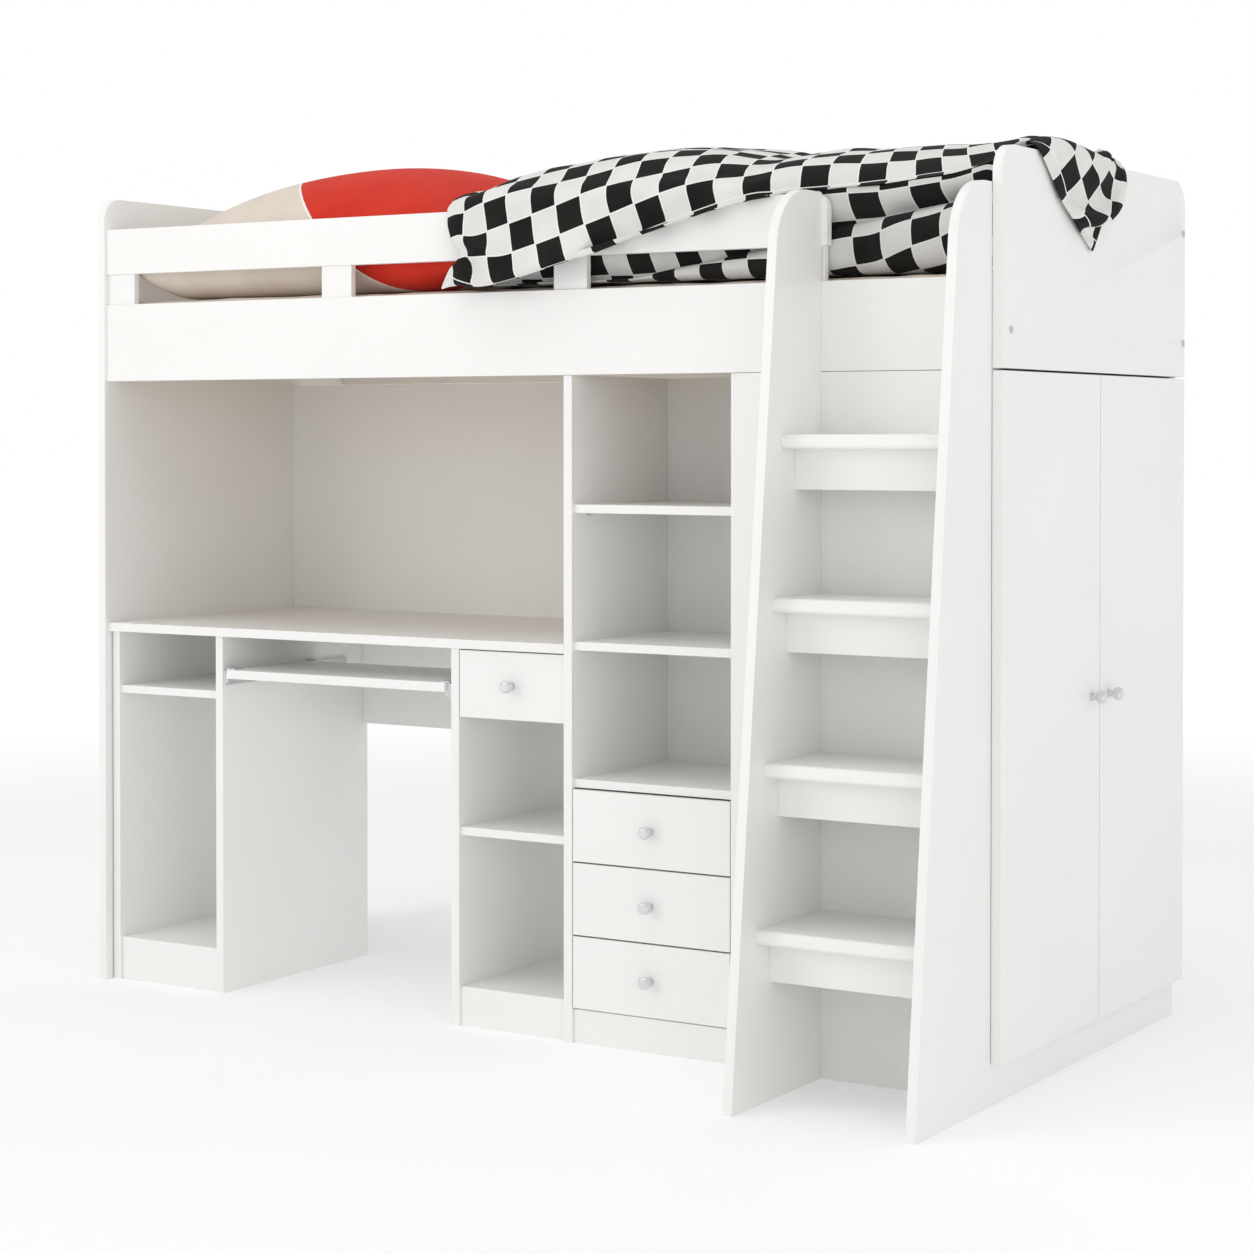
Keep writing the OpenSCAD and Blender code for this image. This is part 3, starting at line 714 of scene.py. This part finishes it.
def duvet_start(u, v, cut_u, cut_v, radius):
    """Where the cloth starts: over the filling, outside the rail, and its corner outside the end panel."""
    x = HEM_START[0] + cut_u * math.cos(HEM_TURN) - cut_v * math.sin(HEM_TURN)
    across = HEM_START[1] + cut_u * math.sin(HEM_TURN) + cut_v * math.cos(HEM_TURN)
    x = np.minimum(x, 1.99)
    drawn_in = across * 0.90
    y = np.clip(drawn_in, 0.0, 0.815)
    z = filling_top(x, y) + PADDING + 0.012 - np.maximum(drawn_in - 0.815, 0)
    outside = across < 0
    z = np.where(outside, RAIL_TOP + 0.03 + across, z)
    y = np.where(outside, RAIL[0][1] - 0.004 - radius, y)
    main = np.stack([x, y, z], 2)
    tip = HEM_PATH[-1]
    flap_y = tip[1] + FLAP_HEM[0] * (DUVET_WIDTH - u) + FLAP_SIDE[0] * v
    flap_z = tip[2] + FLAP_HEM[1] * (DUVET_WIDTH - u) + FLAP_SIDE[1] * v
    folded = np.maximum(flap_z - FLAP_FOLD, 0)
    flap_x = tip[0] + 0.5 * radius - folded
    flap = np.stack([flap_x, flap_y, np.minimum(flap_z, FLAP_FOLD) + 0.2 * radius], 2)
    turn = smooth_step(folded, 0.12, 0.0) * (v < 0.45)
    return main + (flap - main) * turn[..., None]


def duvet_guides(place, v, cut_u, cut_v, spacing, hold):
    """Leads the four hems to where the photo shows them, as strongly as hold says."""
    columns = place.shape[1]
    hem = along(HEM_PATH, np.linspace(0, path_length(HEM_PATH), columns))
    side_steps = np.hypot(np.diff(cut_u[:, -1]), np.diff(cut_v[:, -1]))
    side_reach = np.concatenate([[0], np.cumsum(side_steps)])
    side = along(SIDE_PATH, np.minimum(side_reach, path_length(SIDE_PATH)))
    rear_x = np.clip(place[-1, :, 0], 0.90, 2.0)
    rear = np.stack([rear_x, np.full(columns, REAR_HEM[0]), np.full(columns, REAR_HEM[1])], 1)
    held = v[:, 0] <= path_length(LEFT_PATH)
    left_hem = along(LEFT_PATH, v[held, 0])
    height = smooth_step(v[held, 0], LEFT_HANGS, LEFT_HANGS + 0.08)[:, None]
    flange_way = LEFT_FLANGE + (TOP_FLANGE - LEFT_FLANGE) * height
    flange_columns = round(FLANGE / spacing) + 1

    def guides(cloth):
        strength = hold["strength"]
        cloth.place[0] += strength * (hem - cloth.place[0])
        cloth.place[:, -1] += strength * (side - cloth.place[:, -1])
        cloth.place[-1] += 0.3 * strength * (rear - cloth.place[-1])
        for column in range(flange_columns):
            aim = left_hem + column * spacing * flange_way
            cloth.place[held, column] += strength * (1 - 0.6 * height) * (aim - cloth.place[held, column])

    return guides


def make_duvet(spacing, steps):
    """The duvet's upper half: cloth that falls on the filling while its hems are led into place."""
    u, v, edge = duvet_pattern(spacing)
    cut_u, cut_v = gathered(u, v)
    swell = np.clip((edge - FLANGE) / PADDING_RUN, 0, 1)
    radius = BARE_CLOTH + PADDING * np.sqrt(1 - (1 - swell) ** 2)
    radius *= 1 - FLAP_THINNING * smooth_step(u, 1.20, 1.38)
    place = duvet_start(u, v, cut_u, cut_v, radius)
    # a little slack inside the seam lets the cloth crease there
    loose = 0.992 + 0.030 * smooth_step(edge, 0.6 * FLANGE, 1.6 * FLANGE)
    loose -= 0.012 * smooth_step(edge, 0.08, 0.2)
    cloth = Cloth(place, np.stack([cut_u, cut_v], 2), loose)
    hold = {"strength": 0.0}
    thin = np.minimum(radius, 0.004)
    ladder_high = np.array([LADDER[1][0], LADDER[1][1], 1.54])
    contacts = [
        duvet_guides(place, v, cut_u, cut_v, spacing, hold),
        surface_contact(filling_top, (0.5, -0.002), (TUCK, 1.0), radius, CLOTH_GRIP),
        box_contact(*RAIL, radius, CLOTH_GRIP),
        box_contact(*END, radius, CLOTH_GRIP),
        box_contact(*REAR_RAIL, thin, CLOTH_GRIP),
        box_contact(LADDER[0], ladder_high, thin, 0.2),
    ]
    for number in range(steps):
        hold["strength"] = min(0.6, 0.002 + 0.6 * number / (0.5 * steps))
        cloth.step(DUVET_FALL, MOVING if number < steps * 0.8 else SETTLING, contacts)
    under = cloth.place - cloth.normals() * (radius * UNDERSIDE)[..., None]
    flat = np.stack([u, v], 2)
    return two_sided("duvet_cover", cloth.place, under, flat, flat)


# ---------------------------------------------------------------- the duvet's under half
UNDER_LEFT, UNDER_RIGHT = 0.896, 2.014
UNDER_BACK = 0.775
# height of the crease between the hanging wall and the rounded fold, and how it climbs to the right
CREASE_AT, CREASE_HEIGHT, CREASE_SLOPE = 1.20, 1.404, 0.185
# the part of the front hem that the wall hangs from
OPENING_HEM = np.array(HEM_PATH[4:9])
# where the squares start on the folded cloth
UNDER_SHIFT = 2.33


def under_section(x, spacing):
    """Round the folded half at each x: wall, crease, rounded fold, bottom, back, and home under the top."""
    floor = MATTRESS_TOP + 0.003
    hem_y = np.interp(x, OPENING_HEM[:, 0], OPENING_HEM[:, 1])
    hem_z = np.interp(x, OPENING_HEM[:, 0], OPENING_HEM[:, 2])
    inside = RAIL_INSIDE + 0.008
    top_y = np.maximum(hem_y + 0.006, inside)
    top_z = hem_z + 0.002 - 0.024 * smooth_step(x, 1.66, 1.60)
    crease = np.maximum(floor + 0.006, CREASE_HEIGHT + CREASE_SLOPE * (x - CREASE_AT))
    crease = crease + 0.004 * lumps(x, x * 0, 8, 0.30)
    crease_y = top_y + 0.022
    down = np.linspace(0, 1, round(0.10 / spacing) + 4)[None, :]
    puff = 0.017 + 0.006 * lumps(x, x * 0, 3, 0.24)
    wall_y = top_y + (crease_y - top_y) * down - puff * np.sin(math.pi * down)
    wall_y = np.maximum(wall_y, inside - 0.003)
    wall_z = top_z + (crease - top_z) * down
    angle = np.linspace(math.pi / 2, -math.pi / 2, round(0.14 / spacing) + 6)[None, :]
    half = (crease - floor) / 2
    front_y = RAIL_INSIDE + 0.006 + 0.004 * lumps(x, x * 0, 12, 0.35)
    fold_y = front_y + (crease_y - front_y) * (1 - np.cos(angle))
    fold_z = floor + half + half * np.sign(np.sin(angle)) * np.abs(np.sin(angle)) ** 0.85
    back = np.linspace(0, 1, 5)[None, 1:]
    bottom_y = crease_y + (UNDER_BACK - crease_y) * back
    bottom_z = floor + 0 * bottom_y
    rise = np.linspace(0, math.pi, 7)[None, 1:-1]
    back_y = UNDER_BACK + 0.03 * np.sin(rise) + 0 * x
    back_top = np.minimum(top_z - 0.045, 1.485)
    back_z = floor + (back_top - floor) * (1 - np.cos(rise)) / 2
    home = np.linspace(1, 0, 6)[None, :-1]
    home_y = top_y + (UNDER_BACK - top_y) * home
    home_z = top_z + (back_top - top_z) * np.minimum(1, home * 4)
    y = np.concatenate([wall_y, fold_y[:, 1:], bottom_y, back_y, home_y], 1)
    z = np.concatenate([wall_z, fold_z[:, 1:], bottom_z, back_z, home_z], 1)
    # both ends close in a rounded seam just above the mattress
    end = np.minimum(x - UNDER_LEFT, UNDER_RIGHT - x)
    close = np.sqrt(np.clip(1 - (1 - np.clip(end / 0.05, 0, 1)) ** 2, 0, 1)) * 0.96 + 0.04
    seam_z = floor + 0.035
    z = np.maximum(seam_z + (z - seam_z) * close, floor)
    y = y + 0.0022 * lumps(x + 0 * y, z * 2.0, 21, 0.085) * (y > inside)
    return y, z


def make_under_half(spacing):
    """The half folded under: a soft wall below the hem, a crease, and a rounded fold on the mattress."""
    columns = round((UNDER_RIGHT - UNDER_LEFT) / spacing) + 1
    x = np.linspace(UNDER_LEFT, UNDER_RIGHT, columns)[:, None]
    y, z = under_section(x, spacing)
    place = np.stack([x + 0 * y, y, z], 2)
    v = np.zeros_like(z)
    v[:, 1:] = np.cumsum(np.linalg.norm(np.diff(place, axis=1), axis=2), axis=1)
    lean = 0.010 * np.sin(5 * x) - 0.10 * v
    flat = np.stack([x - UNDER_LEFT + lean, UNDER_SHIFT - v], 2)
    return ringed("duvet_under_half", place, flat)


# ---------------------------------------------------------------- pillow
# the flat case's side, how thick it can get, and its middle on the bed
PILLOW_SIZE = 0.83
PILLOW_PLUMP = 0.268
PILLOW_MIDDLE = np.array([0.482, 0.425])
# how hard the filling presses outward and how fast the cloth falls, in each step
PILLOW_PRESS = 0.00045
PILLOW_FALL = 0.00012
PILLOW_KEPT_SPEED = 0.95
SEAM_HALF = 0.0015


def make_pillow(spacing, steps):
    """Two square sheets sewn together, pressed apart by the filling, and lying on the mattress."""
    count = round(PILLOW_SIZE / spacing) + 1
    share = np.linspace(0, 1, count)
    s, t = np.meshgrid(share, share)
    flat = np.stack([s, t], 2) * PILLOW_SIZE
    crown = (16 * s * (1 - s) * t * (1 - t)) ** 0.42
    plan = PILLOW_MIDDLE + (flat - PILLOW_SIZE / 2) * 0.90
    middle = MATTRESS_TOP + 0.5 * PILLOW_PLUMP
    limit = PILLOW_PLUMP * (1 - (2 * s - 1) ** 4) ** 0.6 * (1 - (2 * t - 1) ** 4) ** 0.6 + 0.003
    limit *= 0.84 + 0.16 * smooth_step(s, 0.10, 0.62)
    halves = []
    for side in (1, -1):
        z = middle + side * 0.45 * PILLOW_PLUMP * crown
        halves.append(Cloth(np.concatenate([plan, z[..., None]], 2), flat, np.ones((count, count))))
    upper, lower = halves
    rim = np.zeros((count, count), bool)
    rim[[0, -1]] = True
    rim[:, [0, -1]] = True
    thin = np.full((count, count), 0.003)
    mattress = surface_contact(lambda x, y: np.full_like(x, MATTRESS_TOP), (0, 0), (1, 1), thin, 0.5)
    front_rail = box_contact(*RAIL, thin * 3, 0.3)

    def sew(_=None):
        both = (upper.place[rim] + lower.place[rim]) / 2
        upper.place[rim] = both
        lower.place[rim] = both
        apart = upper.place - lower.place
        length = np.linalg.norm(apart, axis=2) + 1e-9
        closer = 0.25 * np.maximum(length - limit, 0) / length
        upper.place[:] -= closer[..., None] * apart
        lower.place[:] += closer[..., None] * apart

    for _ in range(steps):
        upper.place += PILLOW_PRESS * upper.normals()
        lower.place -= PILLOW_PRESS * lower.normals()
        for half in halves:
            half.step(PILLOW_FALL, PILLOW_KEPT_SPEED, [sew, mattress, front_rail])
        drift = (upper.place[..., :2].mean((0, 1)) + lower.place[..., :2].mean((0, 1))) / 2 - PILLOW_MIDDLE
        for half in halves:
            half.place[..., :2] -= 0.1 * drift
    sew()
    under = lower.place.copy()
    under[rim, 2] -= SEAM_HALF
    return two_sided("pillow_cover", upper.place, under, flat, flat * (1, -1))


# ---------------------------------------------------------------- mattress
MATTRESS_ROUNDING = 0.022
MATTRESS_GRID = 0.02


def grid_box(low, high, spacing):
    """Points and outward quads of a box whose sides are divided into a grid."""
    marks = [np.linspace(low[k], high[k], round((high[k] - low[k]) / spacing) + 1) for k in range(3)]
    points, faces, seen = [], [], {}

    def corner(key):
        if key not in seen:
            seen[key] = len(points)
            points.append([marks[k][key[k]] for k in range(3)])
        return seen[key]

    for axis in range(3):
        first, second = (axis + 1) % 3, (axis + 2) % 3
        for at, outward in ((0, False), (len(marks[axis]) - 1, True)):
            for i in range(len(marks[first]) - 1):
                for j in range(len(marks[second]) - 1):
                    ring = []
                    for further, higher in ((0, 0), (1, 0), (1, 1), (0, 1)):
                        key = [at, at, at]
                        key[first] = i + further
                        key[second] = j + higher
                        ring.append(corner(tuple(key)))
                    faces.append(ring if outward else ring[::-1])
    return np.array(points), faces


def make_mattress():
    """The mattress under its sheet: a box with rounded edges and faint creases."""
    low, high = MATTRESS
    points, faces = grid_box(low, high, MATTRESS_GRID)
    inner = np.clip(points, low + MATTRESS_ROUNDING, high - MATTRESS_ROUNDING)
    offset = points - inner
    way = offset / (np.linalg.norm(offset, axis=1, keepdims=True) + 1e-9)
    points = inner + way * MATTRESS_ROUNDING
    x, y, z = points.T
    top_crease = 0.0011 * lumps(x, y, 31, 0.16) + 0.0008 * lumps(x, y, 32, 0.06)
    side_crease = 0.0012 * lumps(x + y, z * 0.5, 33, 0.05)
    flatness = np.abs(way[:, 2])
    crease = top_crease * flatness + side_crease * (1 - flatness)
    return cover("mattress_cover", points + way * (crease - 0.0016)[:, None], faces)


# ---------------------------------------------------------------- the scene
set_camera()
set_light()
set_floor()
finish_boards()

# grid spacing and number of steps of the two cloth simulations
DUVET_RUN, PILLOW_RUN = (0.013, 420), (0.014, 260)
UNDER_GRID = 0.012

duvet = make_duvet(*DUVET_RUN)
under_half = make_under_half(UNDER_GRID)
pillow = make_pillow(*PILLOW_RUN)
mattress = make_mattress()
checks = checks_material("checked_cotton", 1.0)
# the folded under half gets a darker copy of the checks: painted shade for the shade it lies in under the
# upper half
painted_shade_checks = checks_material("checked_cotton_painted_shade", 0.84)
for piece, material, node, slot_name, fill in (
    (duvet, checks, "duvet", "duvet_fabric", 0.6),
    (under_half, painted_shade_checks, "duvet", "duvet_fabric", 0.6),
    (pillow, pillow_material(), "pillow", "pillow_fabric", 0.8),
    (mattress, sheet_material(), "mattress", "sheet_fabric", 0.9),
):
    piece.data.materials.append(material)
    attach(piece, "bed_frame")
    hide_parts(node)

bpy.context.scene.view_settings.view_transform = "Standard"
